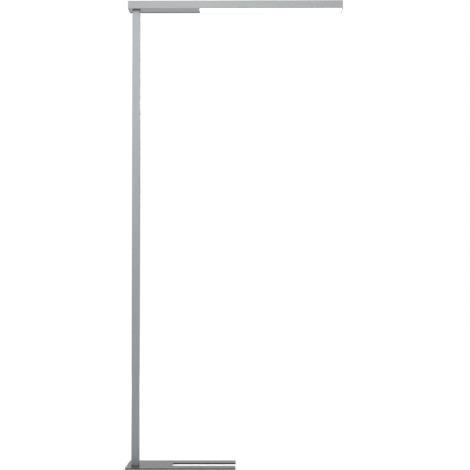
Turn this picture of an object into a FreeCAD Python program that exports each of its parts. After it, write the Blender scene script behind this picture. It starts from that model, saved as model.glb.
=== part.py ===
import FreeCAD, Part
import math
import os

# An office floor lamp: a square post on a flat U-shaped base plate carries a long slim head
# that reaches over the desk. Millimetres. The origin is on the post's axis at the floor,
# +Z up, +X from the post towards the head's free tip, +Y towards the back of the lamp.

Vector = FreeCAD.Vector

# Whole lamp
lamp_height = 1950.0
end_inset = 32.5              # from the post's axis to the left end of the base and of the head
fit_clearance = 0.2           # round a part that drops into a cut-out
insert_clearance = 0.1        # round a block pushed into the post
edge_softening = 0.5          # broken edges of the base plate

# Base plate and its glides
base_length = 450.0
base_depth = 220.0
base_thickness = 5.0
base_corner_radius = 2.5
slot_start = 155.0            # from the post's axis to the closed end of the slot
slot_width = 79.0
slot_corner_radius = 3.0
glide_thickness = 0.6
glide_radius = 9.0
glide_edge_distance = 14.0
foot_pad_radius = 20.0        # the glide under the post, which covers the screws

# Post
post_width = 32.0
post_wall = 2.0
post_corner_radius = 1.5
post_inner_radius = 0.6

# Blocks inside the two ends of the post
foot_block_height = 40.0
neck_block_height = 40.0
cable_bore_radius = 6.0
cable_slot_reach = 16.0       # from the post's axis to the end of the slot in the bracket
cable_slot_width = 7.0

# Screws, as shank radius, head radius and head height
block_screw_radius = 2.5
block_screw_spacing = 17.0
block_screw_reach = 20.0
foot_head_radius = 5.0
foot_head_height = 2.5
neck_head_radius = 4.25
neck_head_height = 5.0
neck_hex_radius = 2.3
neck_hex_depth = 2.5
side_screw_radius = 2.0
side_head_radius = 4.0
side_head_height = 2.0
side_screw_length = 12.0
side_screw_offset = 8.0       # from a block's middle height to each of its side screws
cap_screw_radius = 1.5
cap_head_radius = 3.0
cap_head_height = 1.5
cap_screw_length = 14.0
gear_screw_radius = 1.5
gear_head_radius = 2.8
gear_head_height = 1.6
thread_clearance = 0.1

# Head: an extruded channel, open below, with a plate at each end
head_length = 905.0
head_depth = 85.0
head_height = 33.0
head_wall = 2.0
head_corner_radius = 1.2
end_cap_thickness = 3.0
end_cap_rib_depth = 3.0
end_cap_rib_thickness = 2.0
lip_width = 3.0
lip_thickness = 1.5
rib_width = 2.0
rib_thickness = 1.2
tray_rib_width = 2.5
groove_play = 0.1             # between a sheet and the top of its groove
screw_port_radius = 3.6
screw_port_mouth = 1.4
screw_port_drop = 16.0        # from the head's top to the screw ports

# Sheets that close the head below
cover_thickness = 2.0
cover_length = 301.5          # from the head's left end to the joint with the diffuser
diffuser_thickness = 2.0
sheet_joint = 0.3
diffuser_leg_thickness = 1.2
diffuser_leg_height = 5.0
diffuser_leg_inset = 4.5

# Bracket that joins the head to the post
bracket_length = 54.0
bracket_thickness = 8.0
bracket_screw_spacing = 34.0

# Tray that carries the electrics
tray_start = 34.0             # from the post's axis
tray_sheet = 1.5
tray_drop = 4.0
tray_web_width = 52.0
tray_end_gap = 4.0

# Light source
board_width = 40.0
board_thickness = 1.6
board_count = 2
board_gap = 6.0
board_inset = 6.0             # from the joint and from the tray's end to the boards
led_size = 3.0
led_height = 0.8
leds_per_row = 14
led_row_spacing = 20.0
connector_length = 8.0
connector_width = 7.0
connector_height = 3.5
connector_offset = 8.0        # from the head's middle line, clear of the driver's screws

# Driver and terminal block
driver_start = 76.0
driver_length = 170.0
driver_width = 30.0
driver_height = 20.0
driver_corner_radius = 2.0
driver_tab_length = 9.0
driver_tab_thickness = 1.5
terminal_start = 36.0
terminal_length = 26.0
terminal_width = 24.0
terminal_height = 14.0
terminal_ways = 3
terminal_hole_radius = 2.0

# Mains inlet, set upright in the back of the post
inlet_height = 78.0           # from the floor to the inlet's middle
inlet_flange_width = 26.0
inlet_flange_height = 33.0
inlet_flange_thickness = 2.0
inlet_flange_radius = 3.0
inlet_body_width = 21.0
inlet_body_height = 28.0
inlet_body_depth = 16.0       # behind the post's outer face
inlet_barb_length = 4.0
inlet_barb_rise = 0.9         # how far each snap barb stands out from the body
inlet_barb_height = 9.0
inlet_socket_width = 16.4
inlet_socket_height = 24.4
inlet_socket_chamfer = 4.5
inlet_socket_depth = 15.0
pin_width = 2.0
pin_height = 4.0
pin_tip_recess = 5.0          # from the flange's face back to the tips of the pins
pin_spacing = 14.0
earth_pin_shift = 4.0

# Push-button in the side of the post that faces the desk
button_height = 1150.0
button_radius = 7.0
button_running_clearance = 0.1
button_proud = 0.6
button_edge_radius = 0.4
button_lip_radius = 7.8
button_lip_thickness = 1.0
button_wall = 1.5
bezel_radius = 11.0
bezel_thickness = 1.0
barrel_radius = 9.0
barrel_bore_radius = 8.0
barrel_depth = 9.4            # behind the post's outer face
shoulder_depth = 5.0          # from the post's outer face to the stop for the button's lip
nut_radius = 11.5             # across its corners
nut_thickness = 3.0
switch_board_thickness = 1.6
contact_radius = 2.5
contact_height = 2.0
spring_radius = 5.0
spring_wire_radius = 0.3
spring_turns = 3.0
spring_seat_gap = 0.05

# Leads
mains_lead_radius = 2.6
mains_lead_exit = 7.0         # from the post's axis back to where the lead leaves the inlet
mains_lead_rise = 32.0
mains_lead_shift = 62.0
mains_lead_drop = 13.0        # from the head's top to the lead where it lies level
signal_lead_radius = 0.9
signal_lead_offset = 4.0
short_lead_radius = 1.2
lead_bend_share = 0.45        # of the shorter run, the most that a bend takes
post_bend_radius = 260.0
neck_bend_radius = 15.0

# Worked out from the sizes above
base_top = glide_thickness + base_thickness
base_right = base_length - end_inset
head_bottom = lamp_height - head_height
head_left = -end_inset
head_right = head_left + head_length
housing_left = head_left + end_cap_thickness
housing_right = head_right - end_cap_thickness
chest_half = head_depth / 2 - head_wall
lip_top = head_bottom + lip_thickness
groove_top = lip_top + max(cover_thickness, diffuser_thickness) + groove_play
rib_top = groove_top + rib_thickness
ceiling = lamp_height - head_wall
flange_bottom = ceiling - tray_sheet - groove_play
tray_rib_bottom = flange_bottom - rib_thickness
web_bottom = flange_bottom + tray_sheet - tray_drop - tray_sheet
port_level = lamp_height - screw_port_drop
port_offset = chest_half - screw_port_radius + insert_clearance
post_top = rib_top
post_half = post_width / 2
post_inner_half = post_half - post_wall
joint_x = head_left + cover_length
tray_end = housing_right - tray_end_gap
board_start = joint_x + board_inset
board_length = (tray_end - board_inset - board_start - (board_count - 1) * board_gap) / board_count
mains_lead_level = lamp_height - mains_lead_drop


def box(x_range, y_range, z_range):
    """A block between two limits along each axis."""
    size = [high - low for low, high in (x_range, y_range, z_range)]
    return Part.makeBox(*size, Vector(x_range[0], y_range[0], z_range[0]))


def rod(radius, length, start, direction):
    """A cylinder that runs from a point along a direction."""
    return Part.makeCylinder(radius, length, start, direction)


def group(solids):
    """Separate solids of one kind kept together."""
    return Part.makeCompound(solids)


def rounded_block(x_range, y_range, z_range, radius, direction):
    """A block whose edges along one direction are rounded."""
    block = box(x_range, y_range, z_range)
    edges = [edge for edge in block.Edges if is_along(edge, direction)]
    return block.makeFillet(radius, edges)


def is_along(edge, direction):
    """Whether a straight edge runs along a direction."""
    run = edge.Vertexes[-1].Point - edge.Vertexes[0].Point
    return run.cross(direction).Length < 1e-6


def section_prism(points, x_start, x_end):
    """A closed outline of (y, z) points, drawn out along X."""
    wire = Part.makePolygon([Vector(x_start, y, z) for y, z in points + points[:1]])
    return Part.Face(wire).extrude(Vector(x_end - x_start, 0, 0))


def countersunk_screw(start, direction, shank_radius, head_radius, head_height, length):
    """A flat-headed screw whose face is at the start and whose shank runs along the direction."""
    cone = Part.makeCone(head_radius, shank_radius, head_height, start, direction)
    return cone.fuse(rod(shank_radius, length, start, direction)).removeSplitter()


def countersunk_hole(start, direction, shank_radius, head_radius, head_height, length):
    """The space for a flat-headed screw: its cone, and a hole that clears its shank."""
    cone = Part.makeCone(head_radius, shank_radius, head_height, start, direction)
    return cone.fuse(rod(shank_radius + thread_clearance, length, start, direction))


def routed_tube(points, radius, bend_radii):
    """A round lead along straight runs joined by tangent arcs."""
    edges = []
    last = points[0]
    for before, corner, after, largest in zip(points, points[1:], points[2:], bend_radii):
        into = (corner - before).normalize()
        out = (after - corner).normalize()
        shorter = min((corner - before).Length, (after - corner).Length)
        half_turn = into.getAngle(out) / 2
        bend_radius = min(largest, lead_bend_share * shorter / math.tan(half_turn))
        setback = bend_radius * math.tan(half_turn)
        bend_start = corner - into * setback
        bend_end = corner + out * setback
        inward = (out - into).normalize()
        middle = corner + inward * (bend_radius / math.cos(half_turn) - bend_radius)
        edges.append(Part.LineSegment(last, bend_start).toShape())
        edges.append(Part.Arc(bend_start, middle, bend_end).toShape())
        last = bend_end
        print("lead bend radius", round(bend_radius, 1))
    edges.append(Part.LineSegment(last, points[-1]).toShape())
    path = Part.Wire(edges)
    start_direction = points[1] - points[0]
    profile = Part.Wire(Part.makeCircle(radius, points[0], start_direction))
    return path.makePipeShell([profile], True, False)


def block_screw_places():
    """The four corners of the square pattern shared by both ends of the post."""
    half = block_screw_spacing / 2
    return [(x, y) for x in (-half, half) for y in (-half, half)]


def level_edges(shape, level):
    """The edges that lie in one horizontal plane."""
    return [edge for edge in shape.Edges if all(abs(end.Z - level) < 1e-6 for end in edge.Vertexes)]


def make_base_plate():
    """The flat steel plate, with a slot open at its right end and countersunk holes below."""
    half_depth = base_depth / 2
    z_range = (glide_thickness, base_top)
    upright = Vector(0, 0, 1)
    plate = rounded_block(
        (-end_inset, base_right), (-half_depth, half_depth), z_range, base_corner_radius, upright
    )
    slot_ends = (slot_start, base_right + slot_width)
    slot_sides = (-slot_width / 2, slot_width / 2)
    plate = plate.cut(rounded_block(slot_ends, slot_sides, z_range, slot_corner_radius, upright))
    plate = plate.makeChamfer(edge_softening, level_edges(plate, base_top))
    for x, y in block_screw_places():
        hole = countersunk_hole(
            Vector(x, y, glide_thickness), upright,
            block_screw_radius, foot_head_radius, foot_head_height, base_thickness,
        )
        plate = plate.cut(hole)
    return plate


def make_base_glides():
    """Thin glides under the corners and the slot's end, and a wide one under the post."""
    side = base_depth / 2 - glide_edge_distance
    tip = base_right - glide_edge_distance
    left = -end_inset + glide_edge_distance
    slot_end = slot_start - glide_edge_distance
    places = [(x, y) for x in (left, tip) for y in (-side, side)] + [(slot_end, 0)]
    up = Vector(0, 0, 1)
    glides = [rod(glide_radius, glide_thickness, Vector(x, y, 0), up) for x, y in places]
    glides.append(rod(foot_pad_radius, glide_thickness, Vector(0, 0, 0), up))
    return group(glides)


def make_foot_screws():
    """Flat-headed screws that hold the post's foot block down on the plate."""
    length = base_thickness + block_screw_reach
    up = Vector(0, 0, 1)
    screws = []
    for x, y in block_screw_places():
        start = Vector(x, y, glide_thickness)
        screws.append(countersunk_screw(
            start, up, block_screw_radius, foot_head_radius, foot_head_height, length
        ))
    return group(screws)


def side_screw_starts():
    """Where the side screws enter the back of the post, two for each block."""
    middles = (base_top + foot_block_height / 2, post_top - neck_block_height / 2)
    levels = [middle + step for middle in middles for step in (-side_screw_offset, side_screw_offset)]
    return [Vector(0, post_half, level) for level in levels]


def post_block(low, high):
    """A square block that fills an end of the post and takes its screws."""
    half = post_inner_half - insert_clearance
    corner_radius = post_inner_radius + insert_clearance
    block = rounded_block((-half, half), (-half, half), (low, high), corner_radius, Vector(0, 0, 1))
    forward = Vector(0, -1, 0)
    for start in side_screw_starts():
        block = block.cut(rod(side_screw_radius + thread_clearance, side_screw_length, start, forward))
    return block


def make_post_foot_block():
    """The block in the post's lower end, tapped from below."""
    block = post_block(base_top, base_top + foot_block_height)
    for x, y in block_screw_places():
        hole_radius = block_screw_radius + thread_clearance
        block = block.cut(rod(hole_radius, block_screw_reach, Vector(x, y, base_top), Vector(0, 0, 1)))
    return block


def make_post_neck_block():
    """The block in the post's upper end, tapped from above, with a bore for the leads."""
    low = post_top - neck_block_height
    block = post_block(low, post_top)
    down = Vector(0, 0, -1)
    for x, y in block_screw_places():
        hole_radius = block_screw_radius + thread_clearance
        block = block.cut(rod(hole_radius, block_screw_reach, Vector(x, y, post_top), down))
    return block.cut(rod(cable_bore_radius, neck_block_height, Vector(0, 0, low), Vector(0, 0, 1)))


def make_post_side_screws():
    """Flat-headed screws through the back of the post into its two blocks."""
    return group([
        countersunk_screw(
            start, Vector(0, -1, 0), side_screw_radius, side_head_radius, side_head_height, side_screw_length
        )
        for start in side_screw_starts()
    ])


def make_post_tube():
    """The square tube, with holes for its side screws, the inlet and the push-button."""
    upright = Vector(0, 0, 1)
    span = (-post_half, post_half)
    bore_span = (-post_inner_half, post_inner_half)
    z_range = (base_top, post_top)
    tube = rounded_block(span, span, z_range, post_corner_radius, upright)
    tube = tube.cut(rounded_block(bore_span, bore_span, z_range, post_inner_radius, upright))
    for start in side_screw_starts():
        tube = tube.cut(countersunk_hole(
            start, Vector(0, -1, 0), side_screw_radius, side_head_radius, side_head_height, post_wall
        ))
    inlet_half_width = inlet_body_width / 2 + fit_clearance
    inlet_half_height = inlet_body_height / 2 + fit_clearance
    tube = tube.cut(box(
        (-inlet_half_width, inlet_half_width),
        (post_inner_half - post_wall, post_half),
        (inlet_height - inlet_half_height, inlet_height + inlet_half_height),
    ))
    start = Vector(post_half, 0, button_height)
    return tube.cut(rod(barrel_radius + insert_clearance, post_wall * 2, start, Vector(-1, 0, 0)))


def bracket_screw_starts():
    """Where the bracket's screws enter the back wall of the head."""
    half = bracket_screw_spacing / 2
    return [Vector(x, head_depth / 2, rib_top + bracket_thickness / 2) for x in (-half, half)]


def make_neck_bracket():
    """The plate that lies on the head's ribs and takes the head's weight to the post."""
    half_length = bracket_length / 2
    half_width = chest_half - insert_clearance
    x_range = (max(-half_length, housing_left + end_cap_rib_depth + fit_clearance), half_length)
    bracket = box(x_range, (-half_width, half_width), (rib_top, rib_top + bracket_thickness))
    up = Vector(0, 0, 1)
    for x, y in block_screw_places():
        hole_radius = block_screw_radius + thread_clearance
        bracket = bracket.cut(rod(hole_radius, bracket_thickness, Vector(x, y, rib_top), up))
    for start in bracket_screw_starts():
        hole_radius = side_screw_radius + thread_clearance
        bracket = bracket.cut(rod(hole_radius, side_screw_length, start, Vector(0, -1, 0)))
    half_slot = cable_slot_width / 2
    bracket = bracket.cut(rod(cable_bore_radius, bracket_thickness, Vector(0, 0, rib_top), up))
    heights = (rib_top, rib_top + bracket_thickness)
    return bracket.cut(box((0, cable_slot_reach), (-half_slot, half_slot), heights))


def make_neck_screws():
    """Socket-headed screws down through the bracket into the post's neck block."""
    seat = rib_top + bracket_thickness
    down = Vector(0, 0, -1)
    length = bracket_thickness + block_screw_reach - neck_head_height
    screws = []
    for x, y in block_screw_places():
        head = rod(neck_head_radius, neck_head_height, Vector(x, y, seat), Vector(0, 0, 1))
        shank = rod(block_screw_radius, length, Vector(x, y, seat), down)
        screws.append(head.fuse(shank).cut(hex_recess(Vector(x, y, seat + neck_head_height))))
    return group(screws)


def hex_recess(mouth):
    """A six-sided recess below a point in the middle of its mouth."""
    corners = [
        mouth + Vector(neck_hex_radius * math.cos(turn), neck_hex_radius * math.sin(turn), 0)
        for turn in (side * math.pi / 3 for side in range(6))
    ]
    wire = Part.makePolygon(corners + corners[:1])
    return Part.Face(wire).extrude(Vector(0, 0, -neck_hex_depth))


def make_bracket_screws():
    """Flat-headed screws through the back of the head into the bracket."""
    return group([
        countersunk_screw(
            start, Vector(0, -1, 0), side_screw_radius, side_head_radius, side_head_height, side_screw_length
        )
        for start in bracket_screw_starts()
    ])


def head_section():
    """Half of the channel's outline, from its mouth up to the middle of its top."""
    half = head_depth / 2
    mouth = half - head_wall - lip_width
    rib = chest_half - rib_width
    tray_rib = chest_half - tray_rib_width
    return [
        (mouth, head_bottom),
        (half, head_bottom),
        (half, lamp_height),
        (0, lamp_height),
        (0, ceiling),
        (chest_half, ceiling),
        (chest_half, flange_bottom),
        (tray_rib, flange_bottom),
        (tray_rib, tray_rib_bottom),
        (chest_half, tray_rib_bottom),
        (chest_half, rib_top),
        (rib, rib_top),
        (rib, groove_top),
        (chest_half, groove_top),
        (chest_half, lip_top),
        (mouth, lip_top),
    ]


def make_head_housing():
    """The extruded channel: lips, sheet grooves, tray grooves and a screw port in each side."""
    right = section_prism(head_section(), housing_left, housing_right)
    left = section_prism([(-y, z) for y, z in head_section()], housing_left, housing_right)
    housing = right.fuse(left).removeSplitter()
    along = Vector(1, 0, 0)
    length = housing_right - housing_left
    corner_edges = [edge for edge in housing.Edges if is_outer_corner(edge)]
    housing = housing.makeFillet(head_corner_radius, corner_edges)
    for side in (-1, 1):
        start = Vector(housing_left, side * port_offset, port_level)
        housing = housing.fuse(rod(screw_port_radius, length, start, along))
    for side in (-1, 1):
        start = Vector(housing_left, side * port_offset, port_level)
        housing = housing.cut(rod(cap_screw_radius + thread_clearance, length, start, along))
        mouth_end = side * (port_offset - screw_port_radius)
        mouth = sorted((mouth_end, side * port_offset))
        half_mouth = screw_port_mouth / 2
        heights = (port_level - half_mouth, port_level + half_mouth)
        housing = housing.cut(box((housing_left, housing_right), mouth, heights))
    for start in bracket_screw_starts():
        housing = housing.cut(countersunk_hole(
            start, Vector(0, -1, 0), side_screw_radius, side_head_radius, side_head_height, head_wall
        ))
    return housing.removeSplitter()


def is_outer_corner(edge):
    """Whether an edge is one of the head's four long outer corners."""
    ends = [end.Point for end in edge.Vertexes]
    level = all(abs(end.z - lamp_height) < 1e-6 or abs(end.z - head_bottom) < 1e-6 for end in ends)
    outside = all(abs(abs(end.y) - head_depth / 2) < 1e-6 for end in ends)
    return level and outside and is_along(edge, Vector(1, 0, 0))


def end_cap(outer_face, inward):
    """A plate over one end of the head, with a rib that reaches in between the screw ports."""
    half = head_depth / 2
    inner_face = outer_face + inward * end_cap_thickness
    x_range = sorted((outer_face, inner_face))
    plate = rounded_block(
        x_range, (-half, half), (head_bottom, lamp_height), head_corner_radius, Vector(1, 0, 0)
    )
    rib_half = port_offset - screw_port_radius - fit_clearance
    rib_range = sorted((inner_face, inner_face + inward * end_cap_rib_depth))
    rib_bottom = rib_top + fit_clearance
    rib_heights = (rib_bottom, rib_bottom + end_cap_rib_thickness)
    plate = plate.fuse(box(rib_range, (-rib_half, rib_half), rib_heights))
    for side in (-1, 1):
        start = Vector(outer_face, side * port_offset, port_level)
        plate = plate.cut(countersunk_hole(
            start, Vector(inward, 0, 0), cap_screw_radius, cap_head_radius, cap_head_height, end_cap_thickness
        ))
    return plate


def make_end_cap_post_side():
    """The cap beside the post."""
    return end_cap(head_left, 1)


def make_end_cap_tip():
    """The cap at the head's free tip."""
    return end_cap(head_right, -1)


def make_end_cap_screws():
    """Flat-headed screws through both caps into the head's screw ports."""
    screws = []
    for face, inward in ((head_left, 1), (head_right, -1)):
        for side in (-1, 1):
            screws.append(countersunk_screw(
                Vector(face, side * port_offset, port_level), Vector(inward, 0, 0),
                cap_screw_radius, cap_head_radius, cap_head_height, cap_screw_length,
            ))
    return group(screws)


def make_driver_cover():
    """The sheet under the electrics, with a square hole where the post comes through."""
    half_width = chest_half - fit_clearance
    heights = (lip_top, lip_top + cover_thickness)
    cover = box((housing_left + fit_clearance, joint_x), (-half_width, half_width), heights)
    hole_half = post_half + fit_clearance
    return cover.cut(box((-hole_half, hole_half), (-hole_half, hole_half), heights))


def make_diffuser():
    """The opal sheet under the light source, stiffened by a leg along each side."""
    half_width = chest_half - fit_clearance
    x_range = (joint_x + sheet_joint, housing_right - fit_clearance)
    top = lip_top + diffuser_thickness
    diffuser = box(x_range, (-half_width, half_width), (lip_top, top))
    leg_outside = chest_half - diffuser_leg_inset
    for side in (-1, 1):
        y_range = sorted((side * leg_outside, side * (leg_outside - diffuser_leg_thickness)))
        diffuser = diffuser.fuse(box(x_range, y_range, (top, top + diffuser_leg_height)))
    return diffuser.removeSplitter()


def tray_section():
    """Half of the tray's outline: its flange, its drop and its web."""
    flange = chest_half - insert_clearance
    inside = tray_web_width / 2 - tray_sheet
    outside = tray_web_width / 2
    flange_top = flange_bottom + tray_sheet
    web_top = web_bottom + tray_sheet
    return [
        (0, web_bottom),
        (outside, web_bottom),
        (outside, flange_bottom),
        (flange, flange_bottom),
        (flange, flange_top),
        (inside, flange_top),
        (inside, web_top),
        (0, web_top),
    ]


def gear_screw_places():
    """Where the driver's tabs are screwed up into the tray."""
    half_tab = driver_tab_length / 2
    return [driver_start - half_tab, driver_start + driver_length + half_tab]


def make_gear_tray():
    """The folded sheet that slides into the head's upper grooves and carries the electrics."""
    right = section_prism(tray_section(), tray_start, tray_end)
    left = section_prism([(-y, z) for y, z in tray_section()], tray_start, tray_end)
    tray = right.fuse(left).removeSplitter()
    up = Vector(0, 0, 1)
    for x in gear_screw_places():
        hole_radius = gear_screw_radius + thread_clearance
        tray = tray.cut(rod(hole_radius, tray_sheet, Vector(x, 0, web_bottom), up))
    return tray


def board_starts():
    """The left end of each circuit board of the light source."""
    return [board_start + index * (board_length + board_gap) for index in range(board_count)]


def make_led_boards():
    """The white circuit boards under the tray."""
    half_width = board_width / 2
    heights = (web_bottom - board_thickness, web_bottom)
    return group([
        box((start, start + board_length), (-half_width, half_width), heights) for start in board_starts()
    ])


def make_led_packages():
    """Two rows of small square light-emitting packages on each board."""
    pitch = board_length / leds_per_row
    top = web_bottom - board_thickness
    half = led_size / 2
    packages = []
    for start in board_starts():
        for index in range(leds_per_row):
            middle = start + pitch * (index + 0.5)
            for side in (-1, 1):
                row = side * led_row_spacing / 2
                y_range = (row - half, row + half)
                packages.append(box((middle - half, middle + half), y_range, (top - led_height, top)))
    return group(packages)


def make_board_connectors():
    """The plug-in connectors at the facing ends of the boards and beside the driver."""
    top = web_bottom - board_thickness
    near = connector_offset - connector_width / 2
    far = connector_offset + connector_width / 2
    first, second = board_starts()
    starts = (first, first + board_length - connector_length, second)
    return group([
        box((start, start + connector_length), (near, far), (top - connector_height, top)) for start in starts
    ])


def make_led_driver():
    """The slim power supply with a screw tab at each end."""
    half_width = driver_width / 2
    end = driver_start + driver_length
    body = rounded_block(
        (driver_start, end), (-half_width, half_width),
        (web_bottom - driver_height, web_bottom), driver_corner_radius, Vector(1, 0, 0)
    )
    tab_range = (driver_start - driver_tab_length, end + driver_tab_length)
    tab_half = half_width - driver_corner_radius
    body = body.fuse(box(tab_range, (-tab_half, tab_half), (web_bottom - driver_tab_thickness, web_bottom)))
    for x in gear_screw_places():
        start = Vector(x, 0, web_bottom - driver_tab_thickness)
        hole_radius = gear_screw_radius + thread_clearance
        body = body.cut(rod(hole_radius, driver_tab_thickness, start, Vector(0, 0, 1)))
    return body


def make_gear_screws():
    """Pan-headed screws that hold the driver's tabs up against the tray."""
    seat = web_bottom - driver_tab_thickness
    length = driver_tab_thickness + tray_sheet
    screws = []
    for x in gear_screw_places():
        head = rod(gear_head_radius, gear_head_height, Vector(x, 0, seat), Vector(0, 0, -1))
        shank = rod(gear_screw_radius, length, Vector(x, 0, seat), Vector(0, 0, 1))
        screws.append(head.fuse(shank))
    return group(screws)


def make_terminal_block():
    """The block that joins the mains lead to the driver, with a screw shaft for each pole."""
    half_width = terminal_width / 2
    block = box(
        (terminal_start, terminal_start + terminal_length), (-half_width, half_width),
        (web_bottom - terminal_height, web_bottom),
    )
    pitch = terminal_width / terminal_ways
    middle = terminal_start + terminal_length / 2
    for way in range(terminal_ways):
        y = -half_width + pitch * (way + 0.5)
        start = Vector(middle, y, web_bottom - terminal_height)
        block = block.cut(rod(terminal_hole_radius, terminal_height / 2, start, Vector(0, 0, 1)))
    return block


def make_inlet_housing():
    """The mains inlet: a flange on the back of the post, a body inside it, and its socket."""
    face = post_half + inlet_flange_thickness
    back = post_half - inlet_body_depth
    half_flange_width = inlet_flange_width / 2
    half_flange_height = inlet_flange_height / 2
    flange = rounded_block(
        (-half_flange_width, half_flange_width), (post_half, face),
        (inlet_height - half_flange_height, inlet_height + half_flange_height),
        inlet_flange_radius, Vector(0, 1, 0)
    )
    half_width = inlet_body_width / 2
    half_height = inlet_body_height / 2
    body = box(
        (-half_width, half_width), (back, post_half), (inlet_height - half_height, inlet_height + half_height)
    )
    housing = flange.fuse(body)
    for side in (-1, 1):
        housing = housing.fuse(inlet_barb(side))
    housing = housing.cut(inlet_socket(face))
    for pin in inlet_pin_solids():
        housing = housing.cut(pin)
    return housing.removeSplitter()


def inlet_barb(side):
    """A wedge on one side of the body that snaps out behind the post's wall."""
    root = side * inlet_body_width / 2
    tip = side * (inlet_body_width / 2 + inlet_barb_rise)
    seat = post_inner_half - insert_clearance
    low = inlet_height - inlet_barb_height / 2
    corners = [(root, seat), (tip, seat), (root, seat - inlet_barb_length)]
    points = [Vector(x, y, low) for x, y in corners]
    wire = Part.makePolygon(points + points[:1])
    return Part.Face(wire).extrude(Vector(0, 0, inlet_barb_height))


def inlet_socket(face):
    """The socket's hollow, with two of its corners cut away so that a plug goes in one way."""
    half_width = inlet_socket_width / 2
    half_height = inlet_socket_height / 2
    cut = inlet_socket_chamfer
    corners = [
        (-half_width, -half_height),
        (half_width - cut, -half_height),
        (half_width, cut - half_height),
        (half_width, half_height - cut),
        (half_width - cut, half_height),
        (-half_width, half_height),
    ]
    points = [Vector(x, face, inlet_height + z) for x, z in corners]
    wire = Part.makePolygon(points + points[:1])
    return Part.Face(wire).extrude(Vector(0, -inlet_socket_depth, 0))


def inlet_pin_solids():
    """Line, neutral and earth pins, which stand in the socket and reach out behind it."""
    tip = post_half + inlet_flange_thickness - pin_tip_recess
    back = post_half - inlet_body_depth
    shift = earth_pin_shift / 2
    places = [(-shift, -pin_spacing / 2), (-shift, pin_spacing / 2), (shift, 0)]
    half_width = pin_width / 2
    half_height = pin_height / 2
    return [
        box(
            (x - half_width, x + half_width), (back, tip),
            (inlet_height + z - half_height, inlet_height + z + half_height),
        )
        for x, z in places
    ]


def make_inlet_pins():
    """The inlet's pins."""
    return group(inlet_pin_solids())


def make_switch_barrel():
    """The push-button's fixed part: a bezel on the post and a stepped barrel inside it."""
    inward = Vector(-1, 0, 0)
    outer = Vector(post_half, 0, button_height)
    bezel_face = outer - inward * bezel_thickness
    barrel = rod(bezel_radius, bezel_thickness, bezel_face, inward)
    barrel = barrel.fuse(rod(barrel_radius, barrel_depth, outer, inward))
    guide_radius = button_radius + button_running_clearance
    barrel = barrel.cut(rod(guide_radius, bezel_thickness + barrel_depth, bezel_face, inward))
    wide_start = outer + inward * shoulder_depth
    barrel = barrel.cut(rod(barrel_bore_radius, barrel_depth - shoulder_depth, wide_start, inward))
    return barrel.removeSplitter()


def make_switch_nut():
    """The six-sided nut that clamps the barrel to the post's wall from inside."""
    inward = Vector(-1, 0, 0)
    seat = Vector(post_inner_half, 0, button_height)
    corners = [
        seat + Vector(0, nut_radius * math.cos(turn), nut_radius * math.sin(turn))
        for turn in (side * math.pi / 3 for side in range(6))
    ]
    wire = Part.makePolygon(corners + corners[:1])
    nut = Part.Face(wire).extrude(inward * nut_thickness)
    return nut.cut(rod(barrel_radius + thread_clearance, nut_thickness, seat, inward))


def make_switch_button():
    """The moving key: a hollow cap whose lip stops against the barrel's shoulder."""
    inward = Vector(-1, 0, 0)
    face = Vector(post_half + bezel_thickness + button_proud, 0, button_height)
    length = bezel_thickness + button_proud + shoulder_depth + button_lip_thickness
    key = rod(button_radius, length, face, inward)
    lip = face + inward * (length - button_lip_thickness)
    key = key.fuse(rod(button_lip_radius, button_lip_thickness, lip, inward))
    hollow = face + inward * button_wall
    spring_room = rod(button_radius - button_wall, length - button_wall, hollow, inward)
    key = key.cut(spring_room)
    face_edges = [edge for edge in key.Edges if all(abs(end.X - face.x) < 1e-6 for end in edge.Vertexes)]
    return key.makeFillet(button_edge_radius, face_edges)


def make_switch_board():
    """The round circuit board that closes the barrel, with its contact and its connector."""
    inward = Vector(-1, 0, 0)
    seat = Vector(post_half - barrel_depth, 0, button_height)
    board = rod(barrel_radius, switch_board_thickness, seat, inward)
    return board.fuse(rod(contact_radius, contact_height, seat, -inward))


def make_switch_connector():
    """The connector on the back of the switch's board, where its lead begins."""
    back = post_half - barrel_depth - switch_board_thickness
    half_width = connector_width / 2
    half_height = connector_length / 2
    inner = signal_lead_offset - signal_lead_radius
    heights = (button_height - half_height, button_height + half_height)
    return box((inner, back), (-half_width, half_width), heights)


def make_switch_spring():
    """The small helical spring between the board and the inside of the key."""
    start = post_half - barrel_depth + spring_wire_radius + spring_seat_gap
    end = post_half + bezel_thickness + button_proud - button_wall - spring_wire_radius - spring_seat_gap
    pitch = (end - start) / spring_turns
    helix = Part.makeHelix(pitch, end - start, spring_radius)
    profile = Part.Wire(Part.makeCircle(spring_wire_radius, Vector(spring_radius, 0, 0), Vector(0, 1, 0)))
    spring = Part.Wire(helix.Edges).makePipeShell([profile], True, True)
    spring.rotate(Vector(0, 0, 0), Vector(0, 1, 0), 90)
    spring.translate(Vector(start, 0, button_height))
    return spring


def make_mains_lead():
    """The lead from the inlet up the post and over to the terminal block."""
    rise = inlet_height + inlet_body_height / 2
    points = [
        Vector(0, mains_lead_exit, rise),
        Vector(0, mains_lead_exit, rise + mains_lead_rise),
        Vector(0, 0, rise + mains_lead_rise + mains_lead_shift),
        Vector(0, 0, mains_lead_level),
        Vector(terminal_start, 0, mains_lead_level),
    ]
    return routed_tube(points, mains_lead_radius, [post_bend_radius, post_bend_radius, neck_bend_radius])


def make_signal_lead():
    """The thin lead from the push-button's board up the post to the terminal block."""
    top = mains_lead_level - signal_lead_offset
    points = [
        Vector(signal_lead_offset, 0, button_height + connector_length / 2),
        Vector(signal_lead_offset, 0, top),
        Vector(terminal_start, 0, top),
    ]
    return routed_tube(points, signal_lead_radius, [neck_bend_radius - signal_lead_offset])


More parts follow.
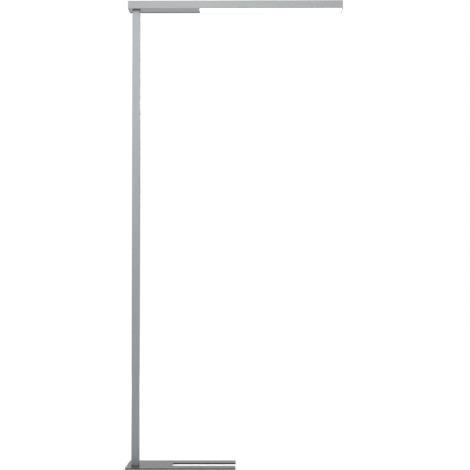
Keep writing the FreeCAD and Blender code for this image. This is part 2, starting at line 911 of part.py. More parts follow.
def make_head_leads():
    """Short straight leads: terminal block to driver, driver to board, and board to board."""
    along = Vector(1, 0, 0)
    driver_level = web_bottom - driver_height / 2
    board_level = web_bottom - board_thickness - connector_height / 2
    terminal_end = terminal_start + terminal_length
    driver_end = driver_start + driver_length
    first, second = board_starts()
    first_end = first + board_length
    y = connector_offset
    return group([
        rod(short_lead_radius, driver_start - terminal_end, Vector(terminal_end, y, driver_level), along),
        rod(short_lead_radius, first - driver_end, Vector(driver_end, y, board_level), along),
        rod(short_lead_radius, second - first_end, Vector(first_end, y, board_level), along),
    ])


PIECES = {
    "base_plate": make_base_plate,
    "base_glides": make_base_glides,
    "foot_screws": make_foot_screws,
    "post_foot_block": make_post_foot_block,
    "post_tube": make_post_tube,
    "post_neck_block": make_post_neck_block,
    "post_side_screws": make_post_side_screws,
    "neck_bracket": make_neck_bracket,
    "neck_screws": make_neck_screws,
    "bracket_screws": make_bracket_screws,
    "head_housing": make_head_housing,
    "end_cap_post_side": make_end_cap_post_side,
    "end_cap_tip": make_end_cap_tip,
    "end_cap_screws": make_end_cap_screws,
    "driver_cover": make_driver_cover,
    "diffuser": make_diffuser,
    "gear_tray": make_gear_tray,
    "led_boards": make_led_boards,
    "led_packages": make_led_packages,
    "board_connectors": make_board_connectors,
    "led_driver": make_led_driver,
    "gear_screws": make_gear_screws,
    "terminal_block": make_terminal_block,
    "inlet_housing": make_inlet_housing,
    "inlet_pins": make_inlet_pins,
    "switch_barrel": make_switch_barrel,
    "switch_nut": make_switch_nut,
    "switch_button": make_switch_button,
    "switch_board": make_switch_board,
    "switch_connector": make_switch_connector,
    "switch_spring": make_switch_spring,
    "mains_lead": make_mains_lead,
    "signal_lead": make_signal_lead,
    "head_leads": make_head_leads,
}

os.makedirs("parts", exist_ok=True)
for name, make in PIECES.items():
    piece = make()
    piece.exportStep("parts/" + name + ".step")
    print(name, len(piece.Solids), "solid", round(piece.Volume), "mm3", piece.isValid())
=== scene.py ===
import math

import bmesh
import bpy
from mathutils import Matrix, Vector


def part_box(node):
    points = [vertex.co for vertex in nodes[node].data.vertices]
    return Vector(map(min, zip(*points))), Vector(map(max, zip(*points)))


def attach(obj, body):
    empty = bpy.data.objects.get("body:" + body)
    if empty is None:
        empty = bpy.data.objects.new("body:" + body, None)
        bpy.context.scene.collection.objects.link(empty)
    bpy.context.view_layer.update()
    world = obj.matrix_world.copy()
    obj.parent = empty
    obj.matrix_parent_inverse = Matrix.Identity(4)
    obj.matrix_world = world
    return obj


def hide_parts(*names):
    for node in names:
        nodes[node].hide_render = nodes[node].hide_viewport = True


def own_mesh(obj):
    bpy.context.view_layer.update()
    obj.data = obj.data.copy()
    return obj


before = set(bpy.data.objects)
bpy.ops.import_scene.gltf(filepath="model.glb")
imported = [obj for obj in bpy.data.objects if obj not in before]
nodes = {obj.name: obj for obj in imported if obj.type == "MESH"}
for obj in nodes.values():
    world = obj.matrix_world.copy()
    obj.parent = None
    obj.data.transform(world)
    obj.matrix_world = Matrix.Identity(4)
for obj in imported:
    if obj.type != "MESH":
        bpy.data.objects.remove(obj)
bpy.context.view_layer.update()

# ---- Camera ----
# It stands 4.9 m in front of the lamp, about at desk height, and looks slightly up, so that
# the head is seen from below and the base plate from above.
IMAGE_SIZE = 470                # pixels, each way
camera_place = Vector((0.4530, -4.8836, 0.7464))
camera_yaw = -0.0074            # radians, to the right of straight ahead
camera_pitch = 0.0444           # upwards
camera_roll = -0.0012
focal_pixels = 1161.25

camera_data = bpy.data.cameras.new("camera")
camera_data.sensor_fit = "HORIZONTAL"
camera_data.sensor_width = 36.0
camera_data.lens = focal_pixels / IMAGE_SIZE * camera_data.sensor_width
camera_data.clip_start = 0.1
camera_data.clip_end = 60.0
camera = bpy.data.objects.new("camera", camera_data)
forward = Vector((
    math.sin(camera_yaw) * math.cos(camera_pitch),
    math.cos(camera_yaw) * math.cos(camera_pitch),
    math.sin(camera_pitch),
))
level_right = Vector((math.cos(camera_yaw), -math.sin(camera_yaw), 0.0))
level_up = level_right.cross(forward)
right = math.cos(camera_roll) * level_right + math.sin(camera_roll) * level_up
up = right.cross(forward)
turned = Matrix((right, up, -forward)).transposed().to_4x4()
camera.matrix_world = Matrix.Translation(camera_place) @ turned
bpy.context.scene.collection.objects.link(camera)
bpy.context.scene.camera = camera


# ---- Studio: a pale floor and soft light ----
# The floor is a matt white sheet with painted shade, a little greyer near the lamp, and a painted
# glow far from it. The light is a white surround, brighter to the camera than to the lamp, and four
# broad soft lamps that stand round it above the head, so the metal darkens towards the floor.
LAMP_SIZE = 2.4                 # metres, each way
LAMP_TARGET = (0.2, 0.0, 1.5)


def add_object(name, mesh):
    piece = bpy.data.objects.new(name, mesh)
    bpy.context.scene.collection.objects.link(piece)
    return piece


def new_material(name):
    """A node material, its node tree and its shader."""
    material = bpy.data.materials.new(name)
    material.use_nodes = True
    tree = material.node_tree
    return material, tree, tree.nodes["Principled BSDF"]


def add_node(tree, kind, links=(), **settings):
    """A node with its settings, and its inputs linked or set from (input, source) pairs."""
    node = tree.nodes.new(kind)
    for setting, value in settings.items():
        setattr(node, setting, value)
    for target, source in links:
        if hasattr(source, "is_output"):
            tree.links.new(source, node.inputs[target])
        else:
            node.inputs[target].default_value = source
    return node


def remap(tree, value, low, high, to_low=0.0, to_high=1.0):
    """A value that is moved from one range to another and kept inside it."""
    node = add_node(tree, "ShaderNodeMapRange", [
        ("Value", value), ("From Min", low), ("From Max", high),
        ("To Min", to_low), ("To Max", to_high),
    ])
    return node.outputs["Result"]


def soft_lamp(name, place, energy):
    """A broad soft lamp that looks at the upper half of the post."""
    data = bpy.data.lights.new(name, "AREA")
    data.shape = "RECTANGLE"
    data.size, data.size_y = LAMP_SIZE, LAMP_SIZE
    data.energy = energy
    lamp = bpy.data.objects.new(name, data)
    lamp.location = place
    ahead = Vector(LAMP_TARGET) - Vector(place)
    lamp.rotation_euler = ahead.to_track_quat("-Z", "Y").to_euler()
    bpy.context.scene.collection.objects.link(lamp)


FLOOR_REACH = 14.0              # metres, from the middle to each edge
# Painted shade: the sheet is greyer close to the lamp than away from it.
NEAR_SHADED_WHITE, FAR_WHITE = 0.80, 0.97          # of the sheet, close to the lamp and away from it
WHITE_RANGE = (0.8, 2.4)        # metres from the middle, where one turns into the other
# Painted light: far from the lamp the sheet glows faintly, though it is no lamp.
FAR_GLOW = 0.25                 # keeps the sheet white where the soft lamps don't reach
GLOW_RANGE = (3.0, 7.0)
floor_mesh = bpy.data.meshes.new("floor")
floor_corners = [(x, y, 0.0) for x, y in ((-1, -1), (1, -1), (1, 1), (-1, 1))]
floor_points = [Vector(corner) * FLOOR_REACH for corner in floor_corners]
floor_mesh.from_pydata(floor_points, [], [(0, 1, 2, 3)])
floor = add_object("floor", floor_mesh)
floor_white, floor_tree, floor_shader = new_material("floor_white")
floor_shader.inputs["Roughness"].default_value = 0.9
floor_shader.inputs["Emission Color"].default_value = (1.0, 1.0, 1.0, 1.0)
sheet_place = add_node(floor_tree, "ShaderNodeTexCoord")
from_middle = add_node(
    floor_tree, "ShaderNodeVectorMath", [(0, sheet_place.outputs["Object"])], operation="LENGTH"
)
away = from_middle.outputs["Value"]
# Painted shade near the lamp and a painted glow far from it, both set by distance from the middle.
sheet_shaded_color = remap(floor_tree, away, *WHITE_RANGE, NEAR_SHADED_WHITE, FAR_WHITE)
sheet_painted_glow = remap(floor_tree, away, *GLOW_RANGE, 0.0, FAR_GLOW)
floor_tree.links.new(sheet_shaded_color, floor_shader.inputs["Base Color"])
floor_tree.links.new(sheet_painted_glow, floor_shader.inputs["Emission Strength"])
floor_mesh.materials.append(floor_white)

SURROUND_LIGHT = 0.80           # how strongly the surround lights the lamp, beside its own white
world = bpy.data.worlds.new("studio")
world.use_nodes = True
surround_tree = world.node_tree
surround = surround_tree.nodes["Background"]
surround.inputs["Color"].default_value = (1.0, 1.0, 1.0, 1.0)
seen = add_node(surround_tree, "ShaderNodeLightPath")
level = remap(surround_tree, seen.outputs["Is Camera Ray"], 0.0, 1.0, SURROUND_LIGHT, 1.0)
surround_tree.links.new(level, surround.inputs["Strength"])
bpy.context.scene.world = world

soft_lamp("soft_key", (0.1, -4.6, 2.9), 76.0)
soft_lamp("soft_back", (0.1, 4.6, 3.2), 92.0)
soft_lamp("soft_left", (-4.6, 0.4, 3.0), 80.0)
soft_lamp("soft_right", (5.4, 0.4, 3.0), 80.0)
bpy.context.scene.view_settings.view_transform = "Standard"


# ---- Base plate ----
# A flat U of 5 mm steel, cut by laser, ground with a fine grain along its length and
# clear-coated. Its top edge is broken by hand, and a thin painted highlight runs along it; its
# cut faces are painted dark, partly the cut's own colour and partly painted shade.
def new_group(name, inputs, outputs):
    """A shader node group with named sockets, each input as (name, kind, value)."""
    group = bpy.data.node_groups.new(name, "ShaderNodeTree")
    for label, kind, value in inputs:
        socket = group.interface.new_socket(name=label, in_out="INPUT", socket_type=kind)
        socket.default_value = value
    for label, kind in outputs:
        group.interface.new_socket(name=label, in_out="OUTPUT", socket_type=kind)
    return group, group.nodes.new("NodeGroupInput"), group.nodes.new("NodeGroupOutput")


def calculate(tree, operation, *values, clamp=False):
    """The outcome of a math node, its inputs given as sockets or numbers."""
    node = add_node(
        tree, "ShaderNodeMath", enumerate(values), operation=operation, use_clamp=clamp
    )
    return node.outputs[0]


def noise(tree, place, scale, detail):
    """A soft random field between 0 and 1."""
    node = add_node(
        tree, "ShaderNodeTexNoise", [("Vector", place), ("Scale", scale), ("Detail", detail)]
    )
    return node.outputs["Fac"]


def mix_color(tree, share, first, second):
    """A colour between two others."""
    node = add_node(
        tree, "ShaderNodeMix", [("Factor", share), ("A", first), ("B", second)], data_type="RGBA"
    )
    return node.outputs["Result"]


def build_drawn_grain():
    """Fine lines along one direction: a mask, a colour and a roughness that follow them."""
    group, given, result = new_group(
        "drawn_grain",
        [
            ("Color", "NodeSocketColor", (0.6, 0.6, 0.6, 1.0)),
            ("Stretch", "NodeSocketVector", (4.0, 900.0, 900.0)),
            ("Contrast", "NodeSocketFloat", 0.06),
            ("Roughness", "NodeSocketFloat", 0.35),
            ("Roughness Spread", "NodeSocketFloat", 0.08),
        ],
        [
            ("Color", "NodeSocketColor"),
            ("Roughness", "NodeSocketFloat"),
            ("Lines", "NodeSocketFloat"),
        ],
    )
    cloud_scale = 7.0               # clouds of tone, about 15 cm across
    place = add_node(group, "ShaderNodeTexCoord").outputs["Object"]
    stretched = add_node(
        group, "ShaderNodeVectorMath", [(0, place), (1, given.outputs["Stretch"])],
        operation="MULTIPLY",
    )
    lines = noise(group, stretched.outputs[0], 1.0, 3.0)
    clouds = noise(group, place, cloud_scale, 2.0)
    centred = calculate(group, "SUBTRACT", lines, 0.5)
    soft = calculate(group, "SUBTRACT", clouds, 0.5)
    both = calculate(group, "MULTIPLY_ADD", soft, 0.5, centred)
    tone = calculate(group, "MULTIPLY_ADD", both, given.outputs["Contrast"], 1.0)
    shaded = add_node(
        group, "ShaderNodeVectorMath", [(0, given.outputs["Color"]), ("Scale", tone)],
        operation="SCALE",
    )
    rough = calculate(
        group, "MULTIPLY_ADD", both, given.outputs["Roughness Spread"], given.outputs["Roughness"]
    )
    group.links.new(shaded.outputs[0], result.inputs["Color"])
    group.links.new(rough, result.inputs["Roughness"])
    group.links.new(lines, result.inputs["Lines"])
    return group


def build_fine_dust():
    """A thin uneven dust that gathers on faces that look up."""
    group, given, result = new_group(
        "fine_dust",
        [
            ("Color", "NodeSocketColor", (0.5, 0.5, 0.5, 1.0)),
            ("Roughness", "NodeSocketFloat", 0.4),
            ("Amount", "NodeSocketFloat", 0.1),
        ],
        [("Color", "NodeSocketColor"), ("Roughness", "NodeSocketFloat")],
    )
    dust_color = (0.62, 0.6, 0.57, 1.0)
    speck_scale = 160.0             # specks, about 6 mm across
    roughening = 0.4                # how much rougher full dust makes the surface
    place = add_node(group, "ShaderNodeTexCoord").outputs["Object"]
    facing = add_node(group, "ShaderNodeNewGeometry")
    parts = add_node(group, "ShaderNodeSeparateXYZ", [(0, facing.outputs["Normal"])])
    upward = calculate(group, "MULTIPLY", parts.outputs["Z"], 1.0, clamp=True)
    patchy = remap(group, noise(group, place, speck_scale, 5.0), 0.42, 0.72)
    cover = calculate(group, "MULTIPLY", upward, patchy)
    amount = calculate(group, "MULTIPLY", cover, given.outputs["Amount"])
    color = mix_color(group, amount, given.outputs["Color"], dust_color)
    rough = calculate(group, "MULTIPLY_ADD", amount, roughening, given.outputs["Roughness"])
    group.links.new(color, result.inputs["Color"])
    group.links.new(rough, result.inputs["Roughness"])
    return group


def build_painted_edge_highlight():
    """A painted highlight: a bright line painted along every edge, found where the bevel normal
    turns away.
    """
    group, given, result = new_group(
        "painted_edge_highlight",
        [
            ("Color", "NodeSocketColor", (0.6, 0.6, 0.6, 1.0)),
            ("Edge Color", "NodeSocketColor", (0.8, 0.8, 0.8, 1.0)),
            ("Width", "NodeSocketFloat", 0.0008),
            ("Amount", "NodeSocketFloat", 0.5),
        ],
        [("Color", "NodeSocketColor")],
    )
    facing = add_node(group, "ShaderNodeNewGeometry")
    rounded = add_node(group, "ShaderNodeBevel", [("Radius", given.outputs["Width"])], samples=4)
    match = add_node(
        group, "ShaderNodeVectorMath",
        [(0, facing.outputs["Normal"]), (1, rounded.outputs["Normal"])],
        operation="DOT_PRODUCT",
    )
    edge = remap(group, match.outputs["Value"], 0.995, 0.85)
    mask = calculate(group, "MULTIPLY", edge, given.outputs["Amount"])
    color = mix_color(group, mask, given.outputs["Color"], given.outputs["Edge Color"])
    group.links.new(color, result.inputs["Color"])
    return group


drawn_grain = build_drawn_grain()
fine_dust = build_fine_dust()
painted_edge_highlight = build_painted_edge_highlight()


def use_group(tree, group, **values):
    """A placed group, its inputs given by name with spaces written as underscores."""
    node = tree.nodes.new("ShaderNodeGroup")
    node.node_tree = group
    for label, value in values.items():
        socket = node.inputs[label.replace("_", " ")]
        if hasattr(value, "is_output"):
            tree.links.new(value, socket)
        else:
            socket.default_value = value
    return node


def satin_metal(
    name, color, stretch, roughness, contrast=0.08, spread=0.1, dust=0.08, bump=0.05,
    edge_tint=1.0,
):
    """Drawn or ground metal with its grain, a painted highlight along its edges and a little dust.
    """
    highlight_lift = 1.15                # how much lighter the painted highlight on an edge is
    line_depth = 0.0002
    material, tree, shader = new_material(name)
    grain = use_group(
        tree, drawn_grain, Color=color, Stretch=stretch, Contrast=contrast, Roughness=roughness,
        Roughness_Spread=spread,
    )
    lighter = tuple(min(1.0, part * highlight_lift) for part in color[:3]) + (1.0,)
    # Painted highlight: every edge of the metal is painted lighter.
    edge = use_group(tree, painted_edge_highlight, Color=grain.outputs["Color"], Edge_Color=lighter, Amount=0.5)
    dusty = use_group(
        tree, fine_dust, Color=edge.outputs["Color"], Roughness=grain.outputs["Roughness"],
        Amount=dust,
    )
    relief = add_node(tree, "ShaderNodeBump", [
        ("Height", grain.outputs["Lines"]), ("Strength", bump), ("Distance", line_depth),
    ])
    tree.links.new(dusty.outputs["Color"], shader.inputs["Base Color"])
    tree.links.new(dusty.outputs["Roughness"], shader.inputs["Roughness"])
    tree.links.new(relief.outputs["Normal"], shader.inputs["Normal"])
    shader.inputs["Metallic"].default_value = 1.0
    shader.inputs["Specular Tint"].default_value = (edge_tint, edge_tint, edge_tint, 1.0)
    return material


def dress(name, material):
    """Gives a carried-over piece its material."""
    nodes[name].data.materials.clear()
    nodes[name].data.materials.append(material)


def build_cut_shade_and_highlight():
    """A plate's dark cut band, partly its own colour and partly painted shade, and a painted
    highlight on its broken edge, told by which way the face looks.
    """
    group, given, result = new_group(
        "cut_shade_and_highlight",
        [
            ("Color", "NodeSocketColor", (0.3, 0.3, 0.3, 1.0)),
            ("Cut Color", "NodeSocketColor", (0.04, 0.04, 0.04, 1.0)),
            ("Broken Color", "NodeSocketColor", (0.8, 0.8, 0.8, 1.0)),
        ],
        [("Color", "NodeSocketColor")],
    )
    steep, slanted = 0.3, 0.92      # a face that looks less far up or down than this
    facing = add_node(group, "ShaderNodeNewGeometry")
    parts = add_node(group, "ShaderNodeSeparateXYZ", [(0, facing.outputs["True Normal"])])
    flatness = calculate(group, "ABSOLUTE", parts.outputs["Z"])
    mask = calculate(group, "LESS_THAN", flatness, steep)
    slant = calculate(group, "LESS_THAN", flatness, slanted)
    # Painted highlight on the slanted broken edge, then the dark cut band, partly painted shade.
    broken = mix_color(group, slant, given.outputs["Color"], given.outputs["Broken Color"])
    color = mix_color(group, mask, broken, given.outputs["Cut Color"])
    group.links.new(color, result.inputs["Color"])
    return group


cut_shade_and_highlight = build_cut_shade_and_highlight()
ground_steel = satin_metal(
    "ground_steel", (0.24, 0.24, 0.238, 1.0), (5.0, 700.0, 700.0), 0.09, spread=0.05, dust=0.04,
    bump=0.02, edge_tint=0.6,
)
steel_tree = ground_steel.node_tree
steel_shader = steel_tree.nodes["Principled BSDF"]
plain_color = steel_shader.inputs["Base Color"].links[0].from_socket
# Painted shade darkens the cut faces beyond their own colour; a painted highlight lightens the
# broken edge.
cut = use_group(
    steel_tree, cut_shade_and_highlight, Color=plain_color, Cut_Color=(0.015, 0.015, 0.0145, 1.0),
    Broken_Color=(0.4, 0.4, 0.395, 1.0),
)
steel_tree.links.new(cut.outputs["Color"], steel_shader.inputs["Base Color"])
dress("base_plate", ground_steel)

# ---- Glides, screws and block at the foot ----
# Thin black glides keep the plate off the floor. The foot block is milled aluminium, and
# the screws are zinc-plated steel.
def moulded(name, color, roughness, grain_size=1400.0, bump=0.15):
    """Moulded plastic, rubber or paint: one colour with a fine spark texture."""
    spark_depth = 0.0001
    material, tree, shader = new_material(name)
    grain = use_group(
        tree, drawn_grain, Color=color, Stretch=(grain_size, grain_size, grain_size), Contrast=0.06,
        Roughness=roughness, Roughness_Spread=0.12,
    )
    relief = add_node(tree, "ShaderNodeBump", [
        ("Height", grain.outputs["Lines"]), ("Strength", bump), ("Distance", spark_depth),
    ])
    tree.links.new(grain.outputs["Color"], shader.inputs["Base Color"])
    tree.links.new(grain.outputs["Roughness"], shader.inputs["Roughness"])
    tree.links.new(relief.outputs["Normal"], shader.inputs["Normal"])
    return material


milled_aluminium = satin_metal(
    "milled_aluminium", (0.62, 0.62, 0.63, 1.0), (500.0, 500.0, 20.0), 0.35
)
screw_zinc = satin_metal("screw_zinc", (0.42, 0.43, 0.44, 1.0), (900.0, 900.0, 900.0), 0.3)
dress("base_glides", moulded("glide_rubber", (0.02, 0.02, 0.02, 1.0), 0.85))
dress("post_foot_block", milled_aluminium)
dress("foot_screws", screw_zinc)


def ring_mesh(name, rings, sides):
    """A closed turned shape: each ring is (outline, radius, height), outline round or hex."""
    def point(outline, radius, height, index):
        turn = 2 * math.pi * index / sides
        if outline == "hex":
            within = (turn + math.pi / 6) % (math.pi / 3) - math.pi / 6
            radius = radius * math.cos(math.pi / 6) / math.cos(within)
        return (radius * math.cos(turn), radius * math.sin(turn), height)

    points = [point(*ring, index) for ring in rings for index in range(sides)]
    faces = []
    for level in range(len(rings) - 1):
        first = level * sides
        for index in range(sides):
            beside = (index + 1) % sides
            above = first + sides
            faces.append((first + index, above + index, above + beside, first + beside))
    faces.append(tuple(range(sides)))
    last = (len(rings) - 1) * sides
    faces.append(tuple(reversed(range(last, last + sides))))
    mesh = bpy.data.meshes.new(name)
    mesh.from_pydata(points, [], faces)
    work = bmesh.new()
    work.from_mesh(mesh)
    bmesh.ops.recalc_face_normals(work, faces=work.faces)
    work.to_mesh(mesh)
    work.free()
    return mesh


def socket_screw(name, shank, head, head_height, length, hex_radius, hex_depth):
    """A flat-headed screw with a six-sided socket. Its face is at 0 and looks up +Z."""
    rim = 0.00012
    tip_radius, tip_length = shank * 0.6, shank * 0.4
    return ring_mesh(name, [
        ("hex", hex_radius * 0.8, -hex_depth),
        ("hex", hex_radius, -hex_depth + rim),
        ("hex", hex_radius, 0.0),
        ("round", head - rim, 0.0),
        ("round", head, -rim),
        ("round", shank, -head_height),
        ("round", shank, -length + tip_length),
        ("round", tip_radius, -length),
    ], 24)


def build_copies_tree():
    """Puts a copy of one object on each point, all turned one way, as one plain mesh."""
    tree = bpy.data.node_groups.new("copies_on_points", "GeometryNodeTree")
    sockets = {}
    for label, kind in (
        ("Points", "NodeSocketGeometry"), ("Copy", "NodeSocketObject"),
        ("Turn", "NodeSocketRotation"), ("Finish", "NodeSocketMaterial"),
    ):
        socket = tree.interface.new_socket(name=label, in_out="INPUT", socket_type=kind)
        sockets[label] = socket.identifier
    tree.interface.new_socket(name="Copies", in_out="OUTPUT", socket_type="NodeSocketGeometry")
    given = tree.nodes.new("NodeGroupInput")
    result = tree.nodes.new("NodeGroupOutput")
    source = add_node(tree, "GeometryNodeObjectInfo", [("Object", given.outputs["Copy"])])
    placed = add_node(tree, "GeometryNodeInstanceOnPoints", [
        ("Points", given.outputs["Points"]),
        ("Instance", source.outputs["Geometry"]),
        ("Rotation", given.outputs["Turn"]),
    ])
    real = add_node(
        tree, "GeometryNodeRealizeInstances", [("Geometry", placed.outputs["Instances"])]
    )
    finished = add_node(tree, "GeometryNodeSetMaterial", [
        ("Geometry", real.outputs["Geometry"]), ("Material", given.outputs["Finish"]),
    ])
    tree.links.new(finished.outputs["Geometry"], result.inputs["Copies"])
    return tree, sockets


copies_tree, copies_sockets = build_copies_tree()


def copies(name, mesh, places, turn, finish):
    """One mesh with a copy of a small shape at each place."""
    pattern = add_object(name + "_pattern", mesh)
    points = bpy.data.meshes.new(name + "_points")
    points.from_pydata(places, [], [])
    holder = add_object(name + "_holder", points)
    nodes_on = holder.modifiers.new("copies", "NODES")
    nodes_on.node_group = copies_tree
    nodes_on[copies_sockets["Copy"]] = pattern
    nodes_on[copies_sockets["Turn"]] = turn
    nodes_on[copies_sockets["Finish"]] = finish
    graph = bpy.context.evaluated_depsgraph_get()
    plain = bpy.data.meshes.new_from_object(holder.evaluated_get(graph))
    plain.name = name
    bpy.data.objects.remove(holder)
    bpy.data.objects.remove(pattern)
    plain.materials.clear()
    plain.materials.append(finish)
    return add_object(name, plain)


def stand_in_for(piece, node, body="lamp"):
    """The piece takes the place of a solid, on the body that the solid rides on."""
    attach(piece, body)
    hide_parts(node)


TOWARDS_BACK = (-math.pi / 2, 0.0, 0.0)     # turns +Z to +Y
TOWARDS_LEFT = (0.0, -math.pi / 2, 0.0)
TOWARDS_RIGHT = (0.0, math.pi / 2, 0.0)
M4_SCREW = dict(
    shank=0.002, head=0.004, head_height=0.002, length=0.012, hex_radius=0.00145, hex_depth=0.0014
)
side_low, side_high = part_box("post_side_screws")
side_pair = 0.016                           # between the two screws of a block
side_levels = [
    side_low[2] + M4_SCREW["head"], side_low[2] + M4_SCREW["head"] + side_pair,
    side_high[2] - M4_SCREW["head"] - side_pair, side_high[2] - M4_SCREW["head"],
]
side_screws = copies(
    "side_screws", socket_screw("side_screw", **M4_SCREW),
    [(0.0, side_high[1], level) for level in side_levels], TOWARDS_BACK, screw_zinc,
)
stand_in_for(side_screws, "post_side_screws")

# ---- Post ----
# A square aluminium tube, drawn along its length, blasted and anodised silver, so that it
# is even and satin with only a trace of the drawing lines.
silver_post = satin_metal(
    "silver_post", (0.25, 0.262, 0.276, 1.0), (700.0, 700.0, 3.0), 0.48, contrast=0.05, spread=0.06
)
dress("post_tube", silver_post)

# ---- Mains inlet ----
# A black moulded socket in the back of the post, with three bright pins. A lead plugs in
# here; its flange lies flat on the tube.
dress("inlet_housing", moulded("inlet_black", (0.018, 0.018, 0.019, 1.0), 0.5))
pin_brass = satin_metal("pin_brass", (0.72, 0.6, 0.34, 1.0), (300.0, 900.0, 900.0), 0.25)
pins_low, pins_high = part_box("inlet_pins")
pin_width, pin_height, pin_shift = 0.002, 0.004, 0.004
pin_length = pins_high[1] - pins_low[1]
tip_bevel = 0.00066                         # round the end of each pin
blade = bmesh.new()
bmesh.ops.create_cube(blade, size=1.0)
bmesh.ops.scale(blade, verts=blade.verts, vec=(pin_width, pin_height, pin_length))
half_way = -pin_length / 2
bmesh.ops.translate(blade, verts=blade.verts, vec=(0.0, 0.0, half_way))
tip_edges = [edge for edge in blade.edges if all(end.co.z > half_way for end in edge.verts)]
bmesh.ops.bevel(
    blade, geom=tip_edges, offset=tip_bevel, segments=3, affect="EDGES", profile=0.6
)
blade_mesh = bpy.data.meshes.new("pin_blade")
blade.to_mesh(blade_mesh)
blade.free()
pin_middle = (pins_low[2] + pins_high[2]) / 2
pin_step = (pins_high[2] - pins_low[2] - pin_height) / 2
pin_left = pins_low[0] + pin_width / 2
pin_places = [
    (pin_left, pins_high[1], pin_middle - pin_step),
    (pin_left, pins_high[1], pin_middle + pin_step),
    (pin_left + pin_shift, pins_high[1], pin_middle),
]
inlet_blades = copies("inlet_blades", blade_mesh, pin_places, TOWARDS_BACK, pin_brass)
stand_in_for(inlet_blades, "inlet_pins")

# ---- Push-button ----
# A turned aluminium key in a bezel, in the side of the post that faces the desk. Its face
# is faced on a lathe, which leaves rings, and a small board closes the barrel behind it.
turned_silver = satin_metal(
    "turned_silver", (0.42, 0.43, 0.445, 1.0), (30.0, 1200.0, 1200.0), 0.32
)
dress("switch_barrel", turned_silver)
key_low, key_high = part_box("switch_button")
key_radius = 0.007
key_lip_radius = (key_high[1] - key_low[1]) / 2
key_lip = 0.001
key_wall = 0.0015
key_length = key_high[0] - key_low[0]
key_edge = 0.0004                           # the rounding round its face
edge_step = 0.0001
dish_rim = 0.0005                           # the flat rim round the hollowed face
dish_depth = 0.0003                         # how far the middle of the face is hollowed
groove_count = 6
groove_depth = 0.00006
face_rings = []
for ring in range(2 * groove_count, 0, -1):
    share = ring / (2 * groove_count + 1)
    level = -dish_depth * (1 - share * share) - (groove_depth if ring % 2 else 0.0)
    face_rings.append(("round", (key_radius - dish_rim) * share, level))
key_mesh = ring_mesh("key_cap", list(reversed(face_rings)) + [
    ("round", key_radius - key_edge, 0.0),
    ("round", key_radius - edge_step, -edge_step),
    ("round", key_radius, -key_edge),
    ("round", key_radius, key_lip - key_length),
    ("round", key_lip_radius, key_lip - key_length),
    ("round", key_lip_radius, -key_length),
    ("round", key_radius - key_wall, -key_length),
    ("round", key_radius - key_wall, -key_wall),
], 48)
key_place = (key_high[0], (key_low[1] + key_high[1]) / 2, (key_low[2] + key_high[2]) / 2)
key_cap = copies("key_cap", key_mesh, [key_place], TOWARDS_RIGHT, turned_silver)
stand_in_for(key_cap, "switch_button", "button")
dress("switch_nut", turned_silver)


def coil_mesh(name, start, end, radius, wire, turns):
    """A wound spring of round wire, between two ends of a line along X."""
    steps, sides = 28 * turns, 8
    points = []
    for step in range(steps + 1):
        share = step / steps
        turn = 2 * math.pi * turns * share
        outward = Vector((0.0, math.cos(turn), math.sin(turn)))
        centre = start.lerp(end, share) + radius * outward
        around = Vector((0.0, -math.sin(turn), math.cos(turn)))
        along = ((end - start) / (2 * math.pi * turns) + radius * around).normalized()
        across = along.cross(outward)
        for side in range(sides):
            swing = 2 * math.pi * side / sides
            points.append(centre + wire * (math.cos(swing) * outward + math.sin(swing) * across))
    faces = []
    for step in range(steps):
        first = step * sides
        for side in range(sides):
            beside = (side + 1) % sides
            above = first + sides
            faces.append((first + side, first + beside, above + beside, above + side))
    faces.append(tuple(reversed(range(sides))))
    faces.append(tuple(range(steps * sides, (steps + 1) * sides)))
    mesh = bpy.data.meshes.new(name)
    mesh.from_pydata(points, [], faces)
    mesh.polygons.foreach_set("use_smooth", [len(face) == 4 for face in faces])
    return mesh


spring_low, spring_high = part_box("switch_spring")
spring_wire = 0.0003
spring_turns = 3
spring_middle = (spring_low + spring_high) / 2
spring_reach = (spring_high[0] - spring_low[0]) / 2 - spring_wire
spring_run = Vector((spring_reach, 0.0, 0.0))
key_spring = add_object("key_spring", coil_mesh(
    "key_spring", spring_middle - spring_run, spring_middle + spring_run,
    (spring_high[1] - spring_low[1]) / 2 - spring_wire, spring_wire, spring_turns,
))
spring_steel = satin_metal("spring_steel", (0.5, 0.5, 0.5, 1.0), (900.0, 900.0, 900.0), 0.25)
key_spring.data.materials.append(spring_steel)
stand_in_for(key_spring, "switch_spring")
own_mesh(key_spring)
white_mask = moulded("white_mask", (0.84, 0.85, 0.84, 1.0), 0.4)
dress("switch_board", white_mask)
pale_plastic = moulded("pale_plastic", (0.8, 0.8, 0.77, 1.0), 0.5)
dress("switch_connector", pale_plastic)

# ---- Neck ----
# A milled block in the top of the tube and a milled bracket inside the head, held together
# by socket screws from above.
dress("post_neck_block", milled_aluminium)
dress("neck_bracket", milled_aluminium)
dress("neck_screws", screw_zinc)
bracket_low, bracket_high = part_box("bracket_screws")
bracket_level = (bracket_low[2] + bracket_high[2]) / 2
bracket_places = [
    (x, bracket_high[1], bracket_level)
    for x in (bracket_low[0] + M4_SCREW["head"], bracket_high[0] - M4_SCREW["head"])
]
bracket_screws = copies(
    "neck_back_screws", socket_screw("back_screw", **M4_SCREW), bracket_places, TOWARDS_BACK,
    screw_zinc,
)
stand_in_for(bracket_screws, "bracket_screws")

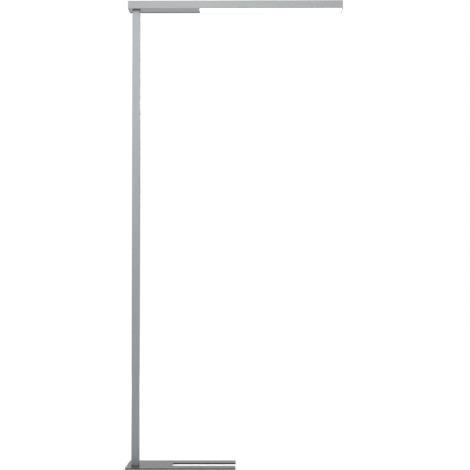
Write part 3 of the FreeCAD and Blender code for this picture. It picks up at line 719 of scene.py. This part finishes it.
# ---- Head ----
# One aluminium extrusion, anodised like the post, with a thin plate over each end held by
# two small screws.
silver_head = satin_metal(
    "silver_head", (0.238, 0.245, 0.251, 1.0), (3.0, 700.0, 700.0), 0.48, contrast=0.05, spread=0.06
)
dress("head_housing", silver_head)
dress("end_cap_post_side", silver_head)
dress("end_cap_tip", silver_head)
M3_SCREW = dict(
    shank=0.0015, head=0.003, head_height=0.0015, length=0.014, hex_radius=0.00115,
    hex_depth=0.0011,
)
cap_low, cap_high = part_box("end_cap_screws")
cap_level = (cap_low[2] + cap_high[2]) / 2
cap_sides = (cap_low[1] + M3_SCREW["head"], cap_high[1] - M3_SCREW["head"])
cap_screws = []
for name, face, turn in (("left", cap_low[0], TOWARDS_LEFT), ("right", cap_high[0], TOWARDS_RIGHT)):
    cap_screws.append(copies(
        "cap_screws_" + name, socket_screw("cap_screw_" + name, **M3_SCREW),
        [(face, y, cap_level) for y in cap_sides], turn, screw_zinc,
    ))
for screws in cap_screws:
    stand_in_for(screws, "end_cap_screws")

# ---- Driver cover ----
# A flat sheet that slides into the head's lower grooves, painted a satin grey that still
# mirrors the post at a low angle.
cover_grey = satin_metal(
    "cover_grey", (0.375, 0.375, 0.375, 1.0), (3.0, 500.0, 500.0), 0.12, spread=0.04, dust=0.0,
    bump=0.01, edge_tint=0.6,
)
dress("driver_cover", cover_grey)

# ---- Diffuser ----
# An opal acrylic sheet in the same grooves, lit evenly from behind, so that it shows as a
# plain white field.
opal_white, opal_tree, opal_shader = new_material("opal_white")
patch_scale = 9.0               # patches of brightness, about 11 cm across
dimmest = 0.97                  # of the brightest
sheet_point = add_node(opal_tree, "ShaderNodeTexCoord").outputs["Object"]
even = remap(opal_tree, noise(opal_tree, sheet_point, patch_scale, 1.0), 0.3, 0.7, dimmest, 1.0)
tinted = add_node(opal_tree, "ShaderNodeCombineXYZ", [(0, even), (1, even), (2, even)])
opal_tree.links.new(tinted.outputs[0], opal_shader.inputs["Emission Color"])
opal_tree.links.new(tinted.outputs[0], opal_shader.inputs["Base Color"])
opal_shader.inputs["Roughness"].default_value = 0.35
opal_shader.inputs["Emission Strength"].default_value = 2.0
dress("diffuser", opal_white)

# ---- Electrics in the head ----
# A white folded tray carries the driver, the terminal block and two circuit boards. None of
# them shows while the head is closed.
dress("gear_tray", moulded("tray_white", (0.82, 0.82, 0.8, 1.0), 0.4))
dress("led_boards", white_mask)
package_low, package_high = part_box("led_packages")
package_size = 0.003
package_height = package_high[2] - package_low[2]
phosphor = moulded("phosphor", (0.9, 0.72, 0.2, 1.0), 0.35)
package_corner = package_size * 0.65        # from its middle to its corners
window_corner, floor_corner = package_size * 0.5, package_size * 0.2
window_floor = package_height * 0.85
package_mesh = ring_mesh("led_package", [
    ("round", floor_corner, -window_floor),
    ("round", window_corner, -package_height),
    ("round", package_corner, -package_height),
    ("round", package_corner, 0.0),
], 4)
package_mesh.transform(Matrix.Rotation(math.pi / 4, 4, "Z"))
rows = (package_low[1] + package_size / 2, package_high[1] - package_size / 2)
boards_low, boards_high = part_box("led_boards")
board_gap = 0.006
board_length = (boards_high[0] - boards_low[0] - board_gap) / 2
leds_per_row = 14
led_pitch = board_length / leds_per_row
board_starts = (boards_low[0], boards_low[0] + board_length + board_gap)
package_places = [
    (start + led_pitch * (index + 0.5), row, package_high[2])
    for start in board_starts for index in range(leds_per_row) for row in rows
]
packages = copies("light_packages", package_mesh, package_places, (0.0, 0.0, 0.0), phosphor)
stand_in_for(packages, "led_packages")
for name in ("board_connectors", "led_driver", "terminal_block"):
    dress(name, pale_plastic)
dress("gear_screws", screw_zinc)

# ---- Leads ----
# Black sheathed leads run up inside the post and over to the terminal block, and short ones
# go on from there to the driver.
lead_black = moulded("lead_black", (0.03, 0.03, 0.03, 1.0), 0.6)
for name in ("mains_lead", "signal_lead", "head_leads"):
    dress(name, lead_black)
